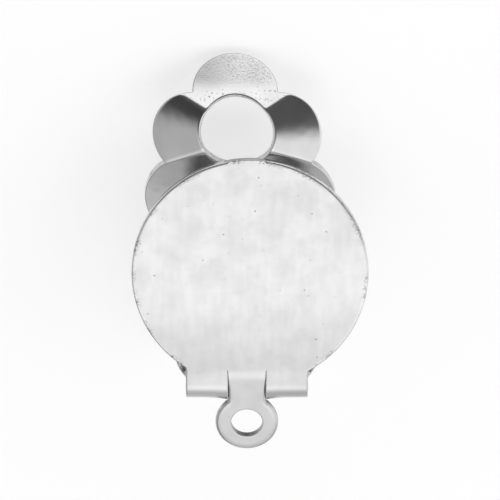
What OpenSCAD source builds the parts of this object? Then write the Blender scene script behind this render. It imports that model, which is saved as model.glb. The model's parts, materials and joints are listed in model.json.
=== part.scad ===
// Clip-on earring finding: a stamped bracket with a glue pad, a charm loop and two
// ears, and a flower-headed clip that turns in the ears and is loaded by its own
// spring tongue.
//
// It is drawn upright, in the pad frame: X across, Y from the pad's front face to the
// back, Z up, with the origin at the centre of the pad's front face. The finished
// part is then laid on its back, on the two ears and the tip of the top petal.

/* [Sheet] */
// Thickness of the bracket's sheet
bracket_t = 0.5; // [0.4:0.05:0.55]
// Thickness of the clip's sheet
clip_t = 0.45; // [0.35:0.05:0.5]

/* [Glue pad] */
// Diameter of the glue pad
pad_d = 15; // [14:0.5:16]
// How far the strap stands to the left of the pad's centre
strap_shift = 0.2; // [0:0.05:0.4]

/* [Strap and base] */
// Width of the strap below the pad
strap_w = 7.75; // [7.5:0.05:8]
// Inner radius of the bend under the pad
bend_r = 0.5; // [0.4:0.05:0.6]
// Angle that the base drops away from square to the pad
base_slope = 5; // [3:0.5:7]
// Height of the turned-up lip at the base's rear end
lip_h = 1.1; // [0.9:0.05:1.3]
// Width of that lip
lip_w = 3.4; // [2.5:0.1:4.5]

/* [Ears] */
// Width over the outer faces of the two ears
ears_w = 9.14; // [9:0.02:9.3]
// Outer radius of the bend at the foot of each ear
ear_bend_r = 1.9; // [1.8:0.05:2]
// Radius of the ear's round top, which is half the ear's length
ear_r = 2.48; // [2.3:0.02:2.6]
// Diameter of the hole in each ear
pin_hole_d = 2; // [1.95:0.01:2.2]
// Rise of the pressed rim round that hole
rim_rise = 0.15; // [0.1:0.01:0.2]
// Width of the pressed rim
rim_w = 0.6; // [0.4:0.05:0.7]
// Distance of the holes behind the pad's front face
pivot_back = 7.3; // [7:0.05:7.6]
// Distance of the holes below the pad's centre
pivot_drop = 5.77; // [5.6:0.01:5.9]
// Height of the holes over the base's underside
pivot_h = 3.3; // [3.2:0.05:3.5]

/* [Loop tab] */
// Width of the tab's neck
neck_w = 2.42; // [2.2:0.02:2.6]
// Outer diameter of the loop
loop_d = 4; // [3.8:0.05:4.2]
// Diameter of the loop's hole
loop_hole_d = 2; // [1.6:0.05:2.2]
// Distance of the tab's crease below the pad's centre
tab_drop = 6.85; // [6.8:0.05:7]
// Distance from that crease to the centre of the loop
tab_len = 3.5; // [3.4:0.05:3.8]
// Angle that the tab leans back from the pad
tab_tilt = 14; // [8:1:16]
// Length of the two slits above the crease
slit_h = 0.4; // [0.3:0.05:0.5]
// Clearance round the tab where it was cut free
slit_gap = 0.06; // [0.05:0.01:0.1]
// Height of the rim that was raised behind the loop's window
window_rise = 0.45; // [0.3:0.05:0.5]
// Width of that rim
window_rim_w = 0.4; // [0.3:0.05:0.5]

/* [Flower head] */
// Height of the flower's centre over the pad's centre
flower_z = 9.1; // [8.9:0.05:9.3]
// Diameter of the flower's hole
flower_hole_d = 4.6; // [4:0.1:4.8]
// Radius of the hub that joins the petals
hub_r = 3.9; // [3.7:0.05:4]
// Radius of the top petal
top_petal_r = 2.7; // [2.5:0.05:2.8]
// Distance of the top petal's centre from the flower's centre
top_petal_reach = 2.05; // [1.9:0.05:2.3]
// Radius of each side petal
side_petal_r = 2.58; // [2.4:0.02:2.7]
// Distance of a side petal's centre from the flower's centre
side_petal_reach = 2.77; // [2.6:0.01:2.9]
// Radius of each of the two lower petals
low_petal_r = 3.7; // [3.5:0.05:3.8]
// Distance of a lower petal's centre from the clip's middle
low_petal_x = 2.35; // [2.2:0.05:2.5]
// Distance of a lower petal's centre below the flower's centre
low_petal_drop = 5.32; // [5.1:0.02:5.5]
// Angle that the petals slope back from the hole's rim
petal_slope = 15; // [12:1:20]
// Angle that the whole flower leans back
flower_lean = 3; // [0:1:8]
// Distance of the rim at the flower's middle behind the pad's front face
rim_back = 0.3; // [0.2:0.05:0.5]
// Angle that the top petal is folded back
top_fold = 31; // [26:1:34]
// Height of that fold over the flower's centre, at the hole's rim
top_fold_rise = 1.4; // [1.2:0.05:1.6]

/* [Arm] */
// Width over the outer edges of the arm's two rails
arm_w = 7.76; // [7.6:0.02:7.8]
// Total bow of the arm between the pad's top and the ears
arm_bow = 13.3; // [10:0.1:16]
// Gap between the closed clip and the pad's back
closed_gap = 0.12; // [0.1:0.01:0.2]
// Angle that the loose clip leans to the left in its ears
clip_lean = 2.4; // [0:0.1:2.6]
// Length of each lug along the arm
lug_l = 1.1; // [1:0.02:1.14]
// Distance of the lug's end from the ear's outer face
lug_proud = 0.05; // [0:0.01:0.1]
// How far the lug's centre sits behind the hole's centre
lug_back = 0.3; // [0.2:0.01:0.34]
// How far the lug's centre sits over the hole's centre
lug_up = 0.24; // [0.15:0.01:0.28]
// Length of the rail's end below the lug's centre
rail_end = 0.75; // [0.6:0.05:0.9]

/* [Spring tongue] */
// Width of the tongue
tongue_w = 3.4; // [3:0.1:3.6]
// Width of the slot at each side of the tongue
slot_w = 0.3; // [0.2:0.05:0.4]
// Height over the pad's centre where the tongue leaves the arm
tongue_top = 5.9; // [5.7:0.05:6.1]
// Angle of the tongue where it steps back behind the arm
step_angle = 66; // [60:1:70]
// Length of that step
step_len = 0.65; // [0.5:0.05:0.8]
// Angle of the tongue behind the step
upper_angle = 45; // [43:1:47]
// Length of the stretch behind the step
upper_len = 1.2; // [1:0.1:1.3]
// Angle of the tongue over its knee
mid_angle = 34; // [32:1:36]
// Length of the bowed stretch over the knee
mid_len = 4.8; // [4.4:0.1:5]
// Angle of the straight end below the knee
low_angle = 10.5; // [8:0.5:12]
// Length of the knee's bend
knee_len = 1.5; // [1.2:0.1:1.8]
// Gap between the tongue's tip and the base
tip_gap = 0.1; // [0.08:0.01:0.15]

/* [Hidden] */
$fn = 96;

METAL = [0.82, 0.82, 0.83];
CLIP_METAL = [0.78, 0.78, 0.8];
TONGUE_METAL = [0.74, 0.74, 0.76];

// Larger than any part of the piece, for cuts that go right through
big = 60;
// Overlap of two shapes that are one sheet
lap = 0.2;

// Bracket: radii, the foot of the ears and the bend under the pad
pad_r = pad_d / 2;
bend_out = bend_r + bracket_t;
flat_half = ears_w / 2 - ear_bend_r;
// Radius of the strap's two lower corners: out to its edges, and at least lapping onto the bend
strap_corner_r = max(strap_w / 2 - flat_half, ear_bend_r - bend_out + lap);
// Where the bend's axis lies along the base, from the point under the holes
bend_v = (bend_out - pivot_back + (pivot_h - bend_out) * sin(base_slope)) / cos(base_slope);
bend_z = -pivot_drop - (pivot_h - bend_out) * cos(base_slope) - bend_v * sin(base_slope);

// Window: the tab's own outline, laid back along the strap, the bend and the base
slit_z = -(tab_drop - slit_h);
tab_total = slit_h + tab_len + loop_d / 2;
bend_run = (bend_r + bracket_t / 2) * (90 - base_slope) * PI / 180;
window_v = bend_v + tab_total - (slit_z - bend_z) - bend_run - loop_d / 2;
window_r = loop_d / 2 + slit_gap;

// Arm: one arc through the pad's top and the lugs, as a chord and a bow
lug_y = pivot_back + lug_back;
lug_z = -pivot_drop + lug_up;
arm_top_front = bracket_t + closed_gap;
chord_y = lug_y - arm_top_front - clip_t / 2;
chord_z = pad_r - lug_z;
arm_top_angle = atan2(chord_y, chord_z) + arm_bow / 2;
arm_r = norm([chord_y, chord_z]) / (2 * sin(arm_bow / 2)) - clip_t / 2;
arc_y = arm_top_front - arm_r * cos(arm_top_angle);
arc_z = pad_r - arm_r * sin(arm_top_angle);
arm_mid_r = arm_r + clip_t / 2;
function arm_angle(z) = asin((z - arc_z) / arm_mid_r);
function arm_mid_y(z) = arc_y + sqrt(arm_mid_r ^ 2 - (z - arc_z) ^ 2);

// Flower: the rim of the cone stands just inside the hole
cone_r = flower_hole_d / 2 - 0.1;
petal_axial_t = clip_t / cos(petal_slope);
fold_z = flower_z + top_fold_rise;
fold_y = rim_back + top_fold_rise * tan(flower_lean);

// Tongue: stretches of [first angle, last angle, length], angles from straight down
tongue_legs = [
    [arm_angle(tongue_top), step_angle, 0.5],
    [step_angle, step_angle, step_len],
    [step_angle, upper_angle, 0.5],
    [upper_angle, upper_angle, upper_len],
    [upper_angle, mid_angle, mid_len],
    [mid_angle, low_angle, knee_len],
];
function steps_of(leg) = 1 + ceil(abs(leg[1] - leg[0]) / 4);
tongue_steps = [
    for (leg = tongue_legs, k = [0.5 : steps_of(leg)])
        [leg[0] + (leg[1] - leg[0]) * k / steps_of(leg), leg[2] / steps_of(leg)]
];
tongue_start = [arm_mid_y(tongue_top), tongue_top];
function walk(p, step) = p + step[1] * [sin(step[0]), -cos(step[0])];
knee_path = [
    for (i = 0, p = tongue_start; i <= len(tongue_steps);
         p = i < len(tongue_steps) ? walk(p, tongue_steps[i]) : p, i = i + 1) p
];
knee_end = knee_path[len(tongue_steps)];
// Height over the base's underside of a point of the pad frame, and its place along it
function over_base(p) = pivot_h + (p[0] - pivot_back) * sin(base_slope)
    + (p[1] + pivot_drop) * cos(base_slope);
function along_base(p) = (p[0] - pivot_back) * cos(base_slope)
    - (p[1] + pivot_drop) * sin(base_slope);
tip_over = bracket_t + tip_gap + clip_t / 2 * sin(low_angle + base_slope);
low_len = (over_base(knee_end) - tip_over) / cos(low_angle + base_slope);
tongue_tip = walk(knee_end, [low_angle, low_len]);
tongue_path = concat(knee_path, [tongue_tip]);
tip_rear = along_base(tongue_tip) + clip_t / 2;
lip_v = max(tip_rear + tip_gap, ear_r + tip_gap);

// Rest pose: the floor touches the ears' round backs and the top petal's tip
tip_z = flower_z + top_petal_reach + top_petal_r;
tip_front = fold_y + (tip_z - fold_z) * tan(top_fold);
tip_back = tip_front + clip_t / cos(top_fold);
tip_rise = (tip_z + pivot_drop) * cos(clip_lean);
tip_span = norm([tip_back - pivot_back, tip_rise]);
rest_tilt = atan2(pivot_back - tip_back, tip_rise) + asin(ear_r / tip_span);
// Height over the floor, and place along it, of a point of the pad frame
floor_y = pivot_back * cos(rest_tilt) - pivot_drop * sin(rest_tilt) + ear_r;
function rest_y(p) = p[1] * cos(rest_tilt) - p[0] * sin(rest_tilt);
loop_end = rest_y([0, -tab_drop]) - (tab_len + loop_d / 2) * cos(rest_tilt - tab_tilt)
    - bracket_t * sin(rest_tilt - tab_tilt);
flower_end = rest_y([tip_front, tip_rise - pivot_drop]);
middle_y = (loop_end + flower_end) / 2;

// Lays the pad frame on the floor, with the middle of its length at the origin
module laid() {
    translate([0, -middle_y, floor_y])
        rotate([-90 - rest_tilt, 0, 0])
            children();
}

// Goes to the base's frame: Y along the base, Z up from its underside, under the holes
module at_base() {
    translate([-strap_shift, pivot_back, -pivot_drop])
        rotate([-base_slope, 0, 0])
            translate([0, 0, -pivot_h])
                children();
}

// Goes to the tab's frame, which hangs from its crease
module at_tab() {
    translate([-strap_shift, 0, -tab_drop])
        rotate([tab_tilt, 0, 0])
            children();
}

// A drawing of Y and Z, drawn out to both sides along X
module across(width) {
    rotate([90, 0, 90])
        linear_extrude(height = width, center = true)
            children();
}

// A round bar along Y from the front face of the frame
module disc(r, t) {
    rotate([-90, 0, 0])
        cylinder(h = t, r = r);
}

// Section of the bend under the pad, in the base's frame
module bend_section() {
    translate([bend_v, bend_out])
        intersection() {
            difference() {
                circle(r = bend_out);
                circle(r = bend_r);
            }
            polygon([
                [0, 0],
                [0, -2 * bend_out],
                [-2 * bend_out * cos(base_slope), -2 * bend_out],
                [-2 * bend_out * cos(base_slope), -2 * bend_out * sin(base_slope)],
            ]);
        }
}

// Section of the bend and the flat of the base, up to the ears' rear edge
module base_section() {
    bend_section();
    translate([bend_v, 0])
        square([ear_r - bend_v, bracket_t]);
}

// The base's side, rolled up about an axis that runs along the base
module rolled_side() {
    translate([flat_half, 0, ear_bend_r])
        rotate([-90, 0, 0])
            rotate_extrude(angle = 90)
                translate([ear_bend_r, 0])
                    rotate(90)
                        children();
}

// The strap's flat stretch between the pad and the bend
module strap() {
    intersection() {
        translate([-strap_shift - strap_w / 2, 0, bend_z - bend_out])
            cube([strap_w, bracket_t, pad_r - bend_out]);
        at_base()
            union() {
                translate([-flat_half, -big / 2, ear_bend_r - strap_corner_r])
                    cube([2 * flat_half, big, big]);
                translate([-big / 2, -big / 2, ear_bend_r])
                    cube([big, big, big]);
                for (side = [-1, 1])
                    translate([side * flat_half, -big / 2, ear_bend_r])
                        disc(strap_corner_r, big);
            }
    }
}

// The base as wide as the strap, its two edges rolled up a little
module base() {
    at_base() {
        across(2 * flat_half)
            base_section();
        intersection() {
            translate([-strap_w / 2, -big / 2, -big / 2])
                cube([strap_w, big, big]);
            for (side = [0, 1])
                mirror([side, 0, 0])
                    rolled_side()
                        base_section();
        }
    }
}

// The window that the loop tab was cut from
module window() {
    half = neck_w / 2 + slit_gap;
    translate([-strap_shift - half, -lap, bend_z - 2 * bend_out])
        cube([2 * half, bend_out + 2 * lap, slit_z - bend_z + 2 * bend_out]);
    at_base() {
        translate([-half, bend_v - bend_out - lap, -lap])
            cube([2 * half, window_v - bend_v + bend_out + lap, bend_out + lap]);
        translate([0, window_v, -lap])
            cylinder(h = bracket_t + 2 * lap, r = window_r);
    }
}

// The rim that was raised behind the window, rising towards the back
module window_rim() {
    at_base()
        difference() {
            translate([0, window_v, 0])
                cylinder(h = bracket_t + window_rise, r = window_r + window_rim_w);
            translate([0, window_v, -lap])
                cylinder(h = bracket_t + window_rise + 2 * lap, r = window_r);
            translate([-big / 2, window_v - window_rim_w, bracket_t])
                rotate([25, 0, 0])
                    translate([0, -big / 2, 0])
                        cube([big, big, big / 2]);
            translate([-big / 2, window_v - big, -lap])
                cube([big, big - window_rim_w, big]);
        }
}

// One ear: the rolled foot, the wall, the pressed rim and the hole
module ear() {
    at_base() {
        rolled_side()
            translate([-ear_r, 0])
                square([2 * ear_r, bracket_t]);
        difference() {
            union() {
                translate([ears_w / 2 - bracket_t, -ear_r, ear_bend_r])
                    cube([bracket_t, 2 * ear_r, pivot_h - ear_bend_r]);
                translate([ears_w / 2 - bracket_t, 0, pivot_h])
                    rotate([0, 90, 0])
                        cylinder(h = bracket_t, r = ear_r);
                translate([ears_w / 2, 0, pivot_h])
                    rotate([0, 90, 0])
                        cylinder(h = rim_rise, r1 = pin_hole_d / 2 + rim_w, r2 = pin_hole_d / 2 + rim_w / 3);
            }
            translate([ears_w / 2 - 2 * bracket_t, 0, pivot_h])
                rotate([0, 90, 0])
                    cylinder(h = 4 * bracket_t, d = pin_hole_d);
        }
    }
}

// The turned-up lip that the tongue's tip bears on
module lip() {
    at_base() {
        translate([-lip_w / 2, ear_r - lap, 0])
            cube([lip_w, lip_v - ear_r + bracket_t + lap - bend_r, bracket_t]);
        across(lip_w)
            translate([lip_v + bracket_t - bend_out, bend_out])
                intersection() {
                    difference() {
                        circle(r = bend_out);
                        circle(r = bend_r);
                    }
                    translate([0, -bend_out])
                        square(bend_out);
                }
        translate([-lip_w / 2, lip_v, bend_out])
            cube([lip_w, bracket_t, lip_h - bend_out]);
    }
}

// The loop tab, with its neck lapped into the strap above the slits
module loop_tab() {
    translate([-strap_shift - neck_w / 2, 0, -tab_drop])
        cube([neck_w, bracket_t, slit_h + lap]);
    at_tab()
        difference() {
            union() {
                translate([-neck_w / 2, 0, -tab_len])
                    cube([neck_w, bracket_t, tab_len]);
                translate([0, 0, -tab_len])
                    disc(loop_d / 2, bracket_t);
            }
            translate([0, -lap, -tab_len])
                disc(loop_hole_d / 2, bracket_t + 2 * lap);
        }
}

module bracket() {
    color(METAL)
        laid() {
            disc(pad_r, bracket_t);
            difference() {
                union() {
                    strap();
                    base();
                }
                window();
            }
            window_rim();
            ear();
            translate([-2 * strap_shift, 0, 0])
                mirror([1, 0, 0])
                    ear();
            lip();
            loop_tab();
        }
}

// Goes to the clip's frame, where the pad's centre would be without the shift
module at_clip() {
    translate([-strap_shift, 0, 0])
        children();
}

// Turns the clip about the holes, as far as it leans in them
module leaned() {
    translate([0, 0, -pivot_drop])
        rotate([0, -clip_lean, 0])
            translate([0, 0, pivot_drop])
                children();
}

// All that lies behind the cone of the petals, the top petal's fold and the arm's arc
module behind_sheet(back) {
    difference() {
        intersection() {
            translate([0, rim_back + back * petal_axial_t / cos(flower_lean), flower_z])
                rotate([-flower_lean, 0, 0])
                    rotate([-90, 0, 0])
                        cylinder(h = big / 3, r1 = cone_r, r2 = cone_r + big / 3 / tan(petal_slope));
            translate([0, fold_y + back * clip_t / cos(top_fold), fold_z])
                rotate([-top_fold, 0, 0])
                    translate([-big, 0, -big])
                        cube(2 * big);
        }
        translate([0, arc_y, arc_z])
            rotate([0, 90, 0])
                cylinder(h = 2 * big, r = arm_r + back * clip_t, center = true);
    }
}

// The bent sheet, as large as it need be, before it is cut to its outline
module clip_sheet() {
    difference() {
        behind_sheet(0);
        behind_sheet(1);
    }
}

// Outline of the clip, seen from the front: X across, Y up
module clip_outline() {
    translate([0, flower_z]) {
        circle(r = hub_r);
        translate([0, top_petal_reach])
            circle(r = top_petal_r);
        for (side = [-1, 1]) {
            translate([side * side_petal_reach, 0])
                circle(r = side_petal_r);
            translate([side * low_petal_x, -low_petal_drop])
                circle(r = low_petal_r);
        }
    }
    translate([-arm_w / 2, lug_z - rail_end])
        square([arm_w, flower_z - lug_z + rail_end]);
}

// Stands an outline up and draws it out along Y, through the whole clip
module through() {
    translate([0, big / 2, 0])
        rotate([90, 0, 0])
            linear_extrude(height = big)
                children();
}

// The lugs at the ends of the rails, square in their holes
module lugs() {
    reach = ears_w / 2 + lug_proud;
    intersection() {
        clip_sheet();
        for (side = [-1, 1])
            translate([side * (arm_w / 2 + reach) / 2, pivot_back, lug_z])
                cube([reach - arm_w / 2 + lap, big / 4, lug_l * cos(arm_angle(lug_z))], center = true);
    }
}

module clip() {
    gap = tongue_w / 2 + slot_w;
    color(CLIP_METAL)
        laid()
            at_clip() {
                leaned()
                    intersection() {
                        clip_sheet();
                        through()
                            difference() {
                                clip_outline();
                                translate([0, flower_z])
                                    circle(d = flower_hole_d);
                                translate([-gap, -big])
                                    square([2 * gap, big + tongue_top]);
                            }
                    }
                lugs();
            }
}

// The tongue: a strip along its path, its first edge level with the arm's slot
module tongue_section() {
    n = len(tongue_path) - 1;
    half = clip_t / 2;
    level = half / cos(arm_angle(tongue_top));
    headings = concat([for (s = tongue_steps) s[0]], [low_angle]);
    function side(i, s) =
        i == 0
            ? tongue_start + [s * level, 0]
            : let (a = (headings[i - 1] + headings[min(i, n - 1)]) / 2)
              tongue_path[i] + s * half * [cos(a), sin(a)];
    polygon(concat(
        [for (i = [0 : n]) side(i, -1)],
        [for (i = [n : -1 : 0]) side(i, 1)]
    ));
}

module spring_tongue() {
    color(TONGUE_METAL)
        laid()
            at_clip()
                leaned()
                    across(tongue_w)
                        tongue_section();
}

bracket();
clip();
spring_tongue();
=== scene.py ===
import json
import math

import bmesh
import bpy
import numpy as np
from mathutils import Matrix, Vector, geometry


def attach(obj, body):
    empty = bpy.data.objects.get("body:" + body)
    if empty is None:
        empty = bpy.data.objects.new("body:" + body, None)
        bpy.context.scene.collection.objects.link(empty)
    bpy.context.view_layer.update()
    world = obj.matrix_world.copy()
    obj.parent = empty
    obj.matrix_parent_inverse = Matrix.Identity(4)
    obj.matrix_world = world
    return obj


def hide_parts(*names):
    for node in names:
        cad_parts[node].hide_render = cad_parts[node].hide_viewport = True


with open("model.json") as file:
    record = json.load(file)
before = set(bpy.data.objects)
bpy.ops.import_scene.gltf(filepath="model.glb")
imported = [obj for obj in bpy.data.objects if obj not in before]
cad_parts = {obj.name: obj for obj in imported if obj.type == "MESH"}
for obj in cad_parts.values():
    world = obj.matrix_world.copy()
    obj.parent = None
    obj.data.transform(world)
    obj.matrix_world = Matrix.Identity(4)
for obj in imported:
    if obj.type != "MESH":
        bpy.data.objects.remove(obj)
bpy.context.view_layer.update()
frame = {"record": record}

# Bracket: one stamping of 0.5 mm nickel-plated steel. It is blanked with the loop tab still in
# its window, tumbled so that the edges are soft, then folded: the base turns back under the
# pad, its sides roll up into the two ears, and the tab is pushed out to the front.

# The pad frame: the earring held upright, in millimetres, from the centre of the pad's face.
# X runs across, Y from the pad's face to its back, Z up. The record says how it lies.
MM = 0.001
glue_face = next(m for m in frame["record"]["mounts"] if m["name"] == "glue_pad")
PAD_CENTRE = np.array(glue_face["pos_m"])
PAD_NORMAL = np.array(Vector(glue_face["axis"]).normalized())
ACROSS = np.array([1.0, 0.0, 0.0])
PAD_UP = np.cross(PAD_NORMAL, ACROSS)

SHEET = 0.5
PAD_R = 7.5
STRAP_SHIFT = 0.2
STRAP_HALF = 7.75 / 2
BEND_OUT = 1.0
BASE_SLOPE = math.radians(5)
EARS_HALF = 9.14 / 2
EAR_BEND_R = 1.9
EAR_R = 2.48
EAR_FOOT = 0.5
FOOT_CURVE = (1, 0.55, 0.25, 0.07, 0)
PIN_HOLE_R = 1.0
COLLAR_RISE = 0.18
COLLAR_W = 0.6
EAR_CREASE_V = 1.15
EAR_CREASE_TURN = 0.06
PIVOT_BACK = 7.3
PIVOT_DROP = 5.77
PIVOT_H = 3.3
NECK_HALF = 2.42 / 2
LOOP_R = 2.0
LOOP_HOLE_R = 1.0
TAB_DROP = 6.85
TAB_LEN = 3.5
TAB_TILT = math.radians(14)
TAB_CREASE = 0.7
SLIT_H = 0.4
SLIT_GAP = 0.02
DRAWN_DOWN = 0.12
DRAWN_W = 0.75
WINDOW_RISE = 0.45
WINDOW_RIM_W = 0.9
RIM_START, RIM_RUN = 0.5, 1.4
LIP_HALF = 1.7
LIP_BACK = 2.58
LIP_H = 1.1
LIP_NOTCH = 0.15
LIP_RELIEF = 0.1
CORNER = 0.15
BRACKET_EDGE = 0.09
SLIT_EDGE = 0.03
LOOP_EDGE = 0.19
HOLE_EDGE = 0.05
# Meshing: steps along outlines and round holes, room kept from corners and from outlines, how
# many edge radii in a flat starts, the sharpest mitre, and the steps of the fine and coarse grids
LINE_STEP, HOLE_STEP = 0.12, 0.08
CORNER_CLEAR, LINE_CLEAR = 0.21, 0.09
FLAT_FROM = 2.2
LEAST_MITRE = 0.6
FINE, COARSE = 0.16, 0.4

FLAT_HALF = EARS_HALF - EAR_BEND_R
BEND_V = BEND_OUT - PIVOT_BACK + (PIVOT_H - BEND_OUT) * math.sin(BASE_SLOPE)
BEND_V /= math.cos(BASE_SLOPE)
BEND_Z = -PIVOT_DROP - (PIVOT_H - BEND_OUT) * math.cos(BASE_SLOPE) - BEND_V * math.sin(BASE_SLOPE)
BEND_TURN = math.pi / 2 - BASE_SLOPE
BEND_RUN = (BEND_OUT - SHEET / 2) * BEND_TURN
BASE_W = BEND_Z - BEND_RUN
ROLL_MID = EAR_BEND_R - SHEET / 2
LEAST_ROLL = 0.02
WALL_E = ROLL_MID * math.pi / 2
HOLE_X = FLAT_HALF + WALL_E + PIVOT_H - EAR_BEND_R
SLIT_Z = SLIT_H - TAB_DROP
WINDOW_Z = -TAB_DROP - TAB_LEN
WINDOW_R = LOOP_R + SLIT_GAP
LIP_V = LIP_BACK + SHEET - BEND_OUT
LIP_RUN = (BEND_OUT - SHEET / 2) * math.pi / 2


def lay(points):
    """Points of the pad frame, in millimetres, laid on the table in metres."""
    upright = np.asarray(points, float) * MM
    axes = np.array([ACROSS, -PAD_NORMAL, PAD_UP])
    return PAD_CENTRE + upright @ axes


def smooth(x):
    x = np.clip(x, 0, 1)
    return x * x * (3 - 2 * x)


def on_blank(x, v):
    """Place on the blank of a point of the base, v behind the line under the ears' holes."""
    return np.stack([x, BASE_W + BEND_V - v], axis=-1)


def fold_tab(w, depth):
    """Y and Z of the tab, which leans back from its crease in a short, soft bend."""
    below = -TAB_DROP - w
    in_bend = np.clip(below + TAB_CREASE / 2, 0, TAB_CREASE)
    turn = TAB_TILT * in_bend / TAB_CREASE
    radius = TAB_CREASE / TAB_TILT
    past = np.maximum(below - TAB_CREASE / 2, 0)
    before = np.minimum(below + TAB_CREASE / 2, 0)
    y = radius * (1 - np.cos(turn)) + past * math.sin(TAB_TILT) + depth * np.cos(turn)
    z = TAB_CREASE / 2 - TAB_DROP - before - radius * np.sin(turn) - past * math.cos(TAB_TILT)
    return y, z + depth * np.sin(turn)


def fold_bracket(blank, depth):
    """The blank's points, at a depth in its sheet, folded into the pad frame."""
    x, w = blank[:, 0], blank[:, 1]
    e = np.maximum(np.abs(x) - FLAT_HALF, 0)
    past = BEND_Z - w
    base_v = BEND_V + np.maximum(past - BEND_RUN, 0)

    # The strap bends back into the base
    turn = BEND_TURN * (1 - np.clip(past / BEND_RUN, 0, 1))
    v = base_v - (BEND_OUT - depth) * np.sin(turn)
    up = BEND_OUT - (BEND_OUT - depth) * np.cos(turn)

    # The lip turns up behind the ears
    lip = (past > BEND_RUN) & (np.abs(x) < LIP_HALF + LIP_NOTCH / 2) & (base_v > LIP_V)
    lip_turn = math.pi / 2 * np.clip((base_v - LIP_V) / LIP_RUN, 0, 1)
    lip_up = np.maximum(base_v - LIP_V - LIP_RUN, 0)
    v = np.where(lip, LIP_V + (BEND_OUT - depth) * np.sin(lip_turn), v)
    up = np.where(lip, BEND_OUT - (BEND_OUT - depth) * np.cos(lip_turn) + lip_up, up)

    # The window's rear half is drawn up into a rim
    from_window = np.hypot(x, w - WINDOW_Z) - WINDOW_R
    rim = (1 - smooth(from_window / WINDOW_RIM_W)) * smooth((WINDOW_Z - w + RIM_START) / RIM_RUN)
    up = up + np.where(lip, 0, WINDOW_RISE * rim)

    # The sides roll up more and more towards the ears, whose walls stand straight
    rolled = smooth((base_v - BEND_V) / (-EAR_R - EAR_FOOT - BEND_V))
    middle = ROLL_MID / np.maximum(rolled, LEAST_ROLL)
    roll = np.minimum(e, WALL_E) / middle
    wall = np.maximum(e - WALL_E, 0)
    collar = np.hypot(base_v, np.abs(x) - HOLE_X) - PIN_HOLE_R
    press = COLLAR_RISE * (1 - smooth((collar - COLLAR_W / 3) / (COLLAR_W * 2 / 3))) * (wall > 0)
    turn_in = EAR_CREASE_TURN * np.maximum(base_v - EAR_CREASE_V, 0)
    press = press - turn_in * smooth(roll / (math.pi / 2)) * rolled
    radius = middle + SHEET / 2 - up
    out_x = np.where(e > 0, np.sign(x) * (FLAT_HALF + radius * np.sin(roll) + press), x)
    out_h = middle + SHEET / 2 - radius * np.cos(roll) + wall

    # The metal beside the slits is drawn down with the tab
    beside = (np.abs(x) - NECK_HALF) / DRAWN_W
    drawn = DRAWN_DOWN * np.exp(-beside ** 2 - ((past - BEND_RUN) / DRAWN_W) ** 2)
    y = PIVOT_BACK + v * math.cos(BASE_SLOPE) + (out_h - PIVOT_H) * math.sin(BASE_SLOPE)
    z = -PIVOT_DROP - v * math.sin(BASE_SLOPE) + (out_h - PIVOT_H) * math.cos(BASE_SLOPE) - drawn

    flat = past < 0
    neck = (np.abs(x) < NECK_HALF + SLIT_GAP / 2) & (w < SLIT_Z) & (w > WINDOW_Z)
    tab = neck | (np.hypot(x, w - WINDOW_Z) < LOOP_R + SLIT_GAP / 2)
    tab_y, tab_z = fold_tab(w, depth)
    return np.stack([
        np.where(tab | flat, x, out_x) - STRAP_SHIFT,
        np.where(tab, tab_y, np.where(flat, depth, y)),
        np.where(tab, tab_z, np.where(flat, w - drawn, z)),
    ], axis=-1)


def arc(centre, radius, first, last, step=LINE_STEP):
    """Points of an arc, from its first to its last angle in degrees."""
    n = max(3, int(abs(math.radians(last - first)) * radius / step))
    a = np.radians(np.linspace(first, last, n + 1))
    return np.stack([centre[0] + radius * np.cos(a), centre[1] + radius * np.sin(a)], axis=-1)


def chain(*parts, step=LINE_STEP):
    """One closed loop through the parts. Straight stretches get points, but not close to their
    corners, where the rounded edge turns."""
    corners = np.concatenate([np.atleast_2d(p) for p in parts])
    apart = np.hypot(*(corners - np.roll(corners, 1, 0)).T) > 1e-6
    corners = corners[apart]
    points = []
    for a, b in zip(corners, np.roll(corners, -1, 0)):
        length = np.hypot(*(b - a))
        n = max(1, int(round(length / step)))
        for k in range(n):
            if k == 0 or CORNER_CLEAR < length * k / n < length - CORNER_CLEAR:
                points.append(a + (b - a) * k / n)
    return np.array(points)


def inset(loop, distance):
    """The loop moved into the sheet, which lies on its left."""
    ahead = np.roll(loop, -1, 0) - loop
    ahead /= np.linalg.norm(ahead, axis=1)[:, None]
    normal = np.stack([-ahead[:, 1], ahead[:, 0]], axis=-1)
    before = np.roll(normal, 1, 0)
    middle = normal + before
    middle /= np.maximum(np.linalg.norm(middle, axis=1), 1e-6)[:, None]
    middle /= np.maximum((middle * normal).sum(1), LEAST_MITRE)[:, None]
    return loop + middle * np.reshape(distance, (-1, 1))


def inside(points, loops):
    """Which points lie in the sheet: inside the outer loop and outside the holes."""
    odd = np.zeros(len(points), bool)
    for loop in loops:
        for a, b in zip(loop, np.roll(loop, -1, 0)):
            if a[1] == b[1]:
                continue
            level = (points[:, 1] >= min(a[1], b[1])) & (points[:, 1] < max(a[1], b[1]))
            across = a[0] + (points[:, 1] - a[1]) * (b[0] - a[0]) / (b[1] - a[1])
            odd ^= level & (points[:, 0] < across)
    return odd


def staggered(low, high, step):
    """A triangular grid of points between two corners."""
    rows = np.arange(low[1], high[1], step * math.sqrt(3) / 2)
    columns = np.arange(low[0], high[0], step)
    return np.array([(x + step / 2 * (i % 2), w) for i, w in enumerate(rows) for x in columns])


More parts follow.
